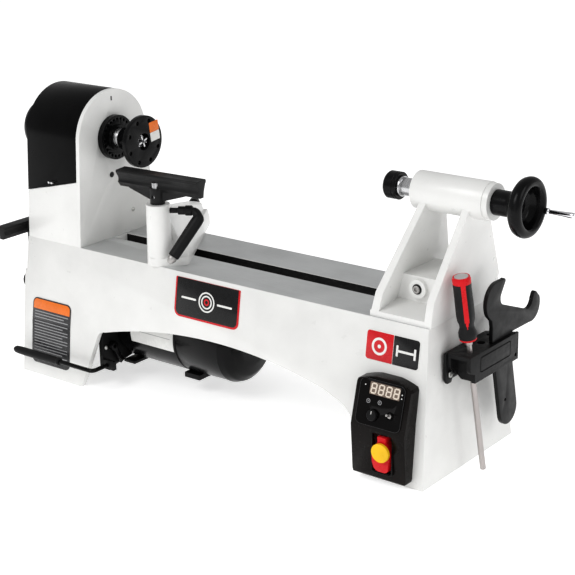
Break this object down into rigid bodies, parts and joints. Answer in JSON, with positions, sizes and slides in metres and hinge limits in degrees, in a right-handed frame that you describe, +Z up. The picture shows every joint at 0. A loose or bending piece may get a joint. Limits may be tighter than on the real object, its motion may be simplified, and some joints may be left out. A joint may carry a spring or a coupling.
{
  "type": "benchtop wood lathe",
  "caption": "Benchtop wood lathe: cast bed with arch, belt-drive headstock under a hinged cover, faceplate, swivelling tool rest on a banjo, tailstock with handwheel, control box.",
  "frame": {"origin": "centre of the foot bolt pattern, on the underside of the feet", "axes": "+X along the bed from headstock to tailstock, -Y towards the operator, +Z up"},
  "size_m": [0.939, 0.2964, 0.45],
  "materials": {
    "white_paint": "satin enamel",
    "machined_iron": "ground",
    "black_paint": "semi-gloss",
    "steel": "turned",
    "chrome": "polished",
    "zinc_bolts": "plain",
    "black_plastic": "textured",
    "fascia_film": "gloss film",
    "display_window": "tinted",
    "red_plastic": "gloss",
    "yellow_plastic": "gloss",
    "label_film": "printed film",
    "pulley_alloy": "cast and turned",
    "belt_rubber": "matte",
    "grip_rubber": "two-tone grip"
  },
  "bodies": {
    "frame": {"bed": "white_paint", "headstock": "white_paint", "headstock_bolts": "zinc_bolts", "spindle_bearings": "steel", "hinge_pins": "steel", "motor_pivot_shaft": "steel", "cable_gland": "black_plastic", "spare_rest_bracket": "black_paint", "tool_holder": "black_plastic", "holder_screws": "zinc_bolts", "control_box": "black_plastic", "control_fascia": "fascia_film", "speed_display": "display_window", "shield_badge": "label_film", "size_badge": "label_film", "info_plate": "label_film", "drive_belt": "belt_rubber"},
    "cover": {"belt_cover": "black_paint", "cover_latch": "steel"},
    "spindle_unit": {"spindle": "steel", "spindle_pulley": "pulley_alloy", "index_ring": "black_paint", "outboard_handwheel": "black_paint", "faceplate": "black_paint", "spur_center": "steel"},
    "motor_unit": {"motor_plate": "black_paint", "tension_handle": "black_paint", "tension_grip": "black_plastic", "motor_shell": "black_paint", "motor_fan_cover": "black_paint", "motor_terminal_box": "black_plastic"},
    "motor_lock": {"motor_lock_lever": "black_paint"},
    "rotor_unit": {"motor_rotor": "steel", "motor_pulley": "pulley_alloy"},
    "door": {"side_door": "white_paint"},
    "door_knob": {"side_door_knob": "black_plastic"},
    "spare_rest": {"spare_tool_rest": "black_paint"},
    "banjo_carriage": {"banjo_clamp": "zinc_bolts"},
    "slide_block": {"banjo_slide_block": "zinc_bolts"},
    "banjo_body": {"banjo": "white_paint"},
    "banjo_lever": {"banjo_lock_lever": "black_plastic"},
    "post_lever": {"post_lock_lever": "black_plastic"},
    "rest_post": {"tool_rest_post": "steel"},
    "rest": {"tool_rest": "black_paint"},
    "tailstock_body": {"tailstock": "white_paint", "tailstock_clamp": "zinc_bolts"},
    "tail_lever": {"tailstock_lock_lever": "black_plastic"},
    "quill_unit": {"quill": "steel", "live_center_shank": "steel"},
    "live_head": {"live_center_head": "black_paint"},
    "tail_wheel": {"tail_handwheel": "black_paint"},
    "crank": {"crank_handle": "chrome"},
    "quill_lock": {"quill_lock_knob": "black_plastic"},
    "rod": {"knockout_rod": "grip_rubber"},
    "spanner": {"wrench": "black_paint"},
    "paddle": {"switch_paddle": "red_plastic"},
    "key": {"safety_key": "yellow_plastic"},
    "knob": {"speed_knob": "black_plastic"},
    "toggle": {"direction_switch": "chrome"}
  },
  "joints": [
    {"name": "spindle_spin", "type": "hinge", "parent": "frame", "child": "spindle_unit", "pos_m": [0, 0, 0.376], "axis": [1, 0, 0], "continuous": true},
    {"name": "cover_hinge", "type": "hinge", "parent": "frame", "child": "cover", "pos_m": [-0.32, 0.0836, 0.32], "axis": [1, 0, 0], "range_deg": [-100, 0]},
    {"name": "motor_tension", "type": "hinge", "parent": "frame", "child": "motor_unit", "pos_m": [-0.21, 0.078, 0.06], "axis": [1, 0, 0], "range_deg": [-8, 0], "deforming": ["drive_belt"]},
    {"name": "motor_lock_turn", "type": "hinge", "parent": "motor_unit", "child": "motor_lock", "pos_m": [-0.215, -0.072, 0.062], "axis": [1, 0, 0], "range_deg": [-30, 20]},
    {"name": "rotor_spin", "type": "hinge", "parent": "motor_unit", "child": "rotor_unit", "pos_m": [-0.1, 0, 0.09], "axis": [1, 0, 0], "continuous": true},
    {"name": "door_hinge", "type": "hinge", "parent": "frame", "child": "door", "pos_m": [-0.381, 0.084, 0.105], "axis": [0, 0, 1], "range_deg": [-110, 0]},
    {"name": "door_knob_turn", "type": "hinge", "parent": "door", "child": "door_knob", "pos_m": [-0.386, -0.078, 0.142], "axis": [1, 0, 0], "range_deg": [0, 180]},
    {"name": "spare_rest_lift", "type": "slide", "parent": "frame", "child": "spare_rest", "axis": [0, 0, 1], "range_m": [0, 0.05]},
    {"name": "banjo_slide", "type": "slide", "parent": "frame", "child": "banjo_carriage", "axis": [1, 0, 0], "range_m": [-0.012, 0.2]},
    {"name": "banjo_swivel", "type": "hinge", "parent": "banjo_carriage", "child": "slide_block", "pos_m": [-0.136, 0, 0.23], "axis": [0, 0, 1], "range_deg": [-20, 8]},
    {"name": "banjo_reach", "type": "slide", "parent": "slide_block", "child": "banjo_body", "axis": [-0.5358, 0.8443, 0], "range_m": [-0.03, 0.025]},
    {"name": "banjo_lock_turn", "type": "hinge", "parent": "banjo_body", "child": "banjo_lever", "pos_m": [-0.1764, 0.06362, 0.241], "axis": [-0.5358, 0.8443, 0], "range_deg": [0, 90]},
    {"name": "post_lock_turn", "type": "hinge", "parent": "banjo_body", "child": "post_lever", "pos_m": [-0.09011, -0.05928, 0.298], "axis": [0.8443, 0.5358, 0], "range_deg": [-95, 0]},
    {"name": "rest_height", "type": "slide", "parent": "banjo_body", "child": "rest_post", "axis": [0, 0, 1], "range_m": [0, 0.045]},
    {"name": "rest_swivel", "type": "hinge", "parent": "rest_post", "child": "rest", "pos_m": [-0.107, -0.07, 0.33], "axis": [0, 0, 1], "range_deg": [-80, 80]},
    {"name": "tailstock_slide", "type": "slide", "parent": "frame", "child": "tailstock_body", "axis": [1, 0, 0], "range_m": [-0.28, 0]},
    {"name": "tailstock_lock_turn", "type": "hinge", "parent": "tailstock_body", "child": "tail_lever", "pos_m": [0.332, 0.06, 0.253], "axis": [0, 1, 0], "range_deg": [-50, 30]},
    {"name": "quill_slide", "type": "slide", "parent": "tailstock_body", "child": "quill_unit", "axis": [1, 0, 0], "range_m": [-0.03, 0.014]},
    {"name": "live_center_spin", "type": "hinge", "parent": "quill_unit", "child": "live_head", "pos_m": [0.268, 0, 0.376], "axis": [1, 0, 0], "continuous": true},
    {"name": "tail_wheel_turn", "type": "hinge", "parent": "tailstock_body", "child": "tail_wheel", "pos_m": [0.45, 0, 0.376], "axis": [1, 0, 0], "range_deg": [-3600, 1680]},
    {"name": "crank_spin", "type": "hinge", "parent": "tail_wheel", "child": "crank", "pos_m": [0.5, 0.0312, 0.3653], "axis": [1, 0, 0], "continuous": true},
    {"name": "quill_lock_turn", "type": "hinge", "parent": "tailstock_body", "child": "quill_lock", "pos_m": [0.352, 0.03, 0.376], "axis": [0, 1, 0], "range_deg": [0, 90]},
    {"name": "rod_lift", "type": "slide", "parent": "frame", "child": "rod", "axis": [-0.0553, -0.1357, 0.9892], "range_m": [0, 0.12]},
    {"name": "wrench_lift", "type": "slide", "parent": "frame", "child": "spanner", "axis": [0, -0.2147, 0.9767], "range_m": [0, 0.055]},
    {"name": "paddle_rock", "type": "hinge", "parent": "frame", "child": "paddle", "pos_m": [0.3355, -0.1301, 0.047], "axis": [1, 0, 0], "range_deg": [-3, 3]},
    {"name": "key_pull", "type": "slide", "parent": "paddle", "child": "key", "axis": [0, -1, 0], "range_m": [0, 0.03]},
    {"name": "speed_knob_turn", "type": "hinge", "parent": "frame", "child": "knob", "pos_m": [0.3185, -0.12917, 0.09811], "axis": [0, -0.9621, 0.2728], "range_deg": [-150, 150]},
    {"name": "direction_flip", "type": "hinge", "parent": "frame", "child": "toggle", "pos_m": [0.3445, -0.12807, 0.10196], "axis": [1, 0, 0], "range_deg": [0, 28]}
  ],
  "couplings": [
    {"joint": "rotor_spin", "follows": "spindle_spin", "ratio": 1},
    {"joint": "quill_slide", "follows": "tail_wheel_turn", "m_per_rad": 0.00047746}
  ]
}
